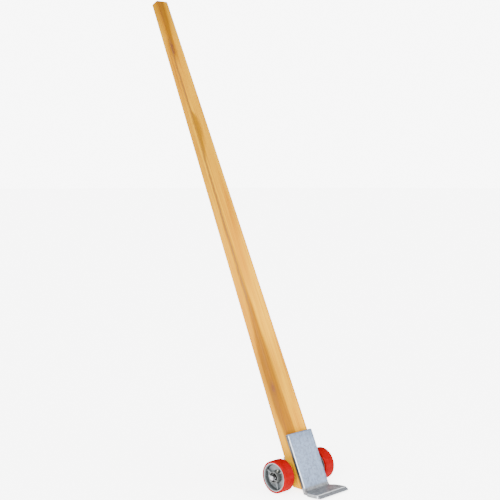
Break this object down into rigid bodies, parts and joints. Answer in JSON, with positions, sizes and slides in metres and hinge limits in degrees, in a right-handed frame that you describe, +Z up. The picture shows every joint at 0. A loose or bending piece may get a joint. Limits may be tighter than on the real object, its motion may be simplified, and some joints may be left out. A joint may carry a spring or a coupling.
{
  "type": "pry lever bar",
  "caption": "Long tapered timber lever bar with a bent steel nose plate and wheels on roller bearings, for prying up and rolling heavy loads.",
  "frame": {"origin": "middle of the flat of the nose plate's heel, on the floor, with the bar standing on its heel and wheels and the handle leaning back 25 degrees", "axes": "+Z up, +X along the axle, +Y backwards to the side the handle leans to; the toe points along -Y"},
  "size_m": [0.303, 1.0333, 1.9345],
  "materials": {
    "varnished_wood": "clear varnish over straight-grained ash, semi-gloss",
    "plate_steel": "satin bluish-grey steel, mill mottling",
    "saddle_steel": "dull grey steel",
    "zinc_steel": "bright zinc plate",
    "axle_steel": "bright turned and ground steel",
    "black_steel": "black oxide, oiled",
    "cast_core": "light grey-green paint over a casting",
    "red_tread": "glossy moulded polyurethane",
    "fitting_steel": "bright plated steel"
  },
  "bodies": {
    "bar": {"handle": "varnished_wood", "nose_plate": "plate_steel", "axle_saddle": "saddle_steel", "saddle_bolts": "zinc_steel", "saddle_washers": "zinc_steel", "axle": "axle_steel", "spacers": "zinc_steel", "inner_washers": "zinc_steel", "retaining_collars": "black_steel", "cotter_pins": "zinc_steel"},
    "left_wheel": {"left_wheel_core": "cast_core", "left_tread": "red_tread", "left_grease_fitting": "fitting_steel"},
    "left_bearing": {"left_rollers": "axle_steel", "left_bearing_cage": "black_steel"},
    "right_wheel": {"right_wheel_core": "cast_core", "right_tread": "red_tread", "right_grease_fitting": "fitting_steel"},
    "right_bearing": {"right_rollers": "axle_steel", "right_bearing_cage": "black_steel"}
  },
  "joints": [
    {"name": "left_wheel_spin", "type": "hinge", "parent": "bar", "child": "left_wheel", "pos_m": [-0.114, 0.09795, 0.0635], "axis": [1, 0, 0], "continuous": true},
    {"name": "left_bearing_roll", "type": "hinge", "parent": "bar", "child": "left_bearing", "pos_m": [-0.114, 0.09795, 0.0635], "axis": [1, 0, 0], "continuous": true},
    {"name": "right_wheel_spin", "type": "hinge", "parent": "bar", "child": "right_wheel", "pos_m": [0.114, 0.09795, 0.0635], "axis": [1, 0, 0], "continuous": true},
    {"name": "right_bearing_roll", "type": "hinge", "parent": "bar", "child": "right_bearing", "pos_m": [0.114, 0.09795, 0.0635], "axis": [1, 0, 0], "continuous": true}
  ],
  "couplings": [
    {"joint": "left_bearing_roll", "follows": "left_wheel_spin", "ratio": 0.61288},
    {"joint": "right_bearing_roll", "follows": "right_wheel_spin", "ratio": 0.61288}
  ]
}
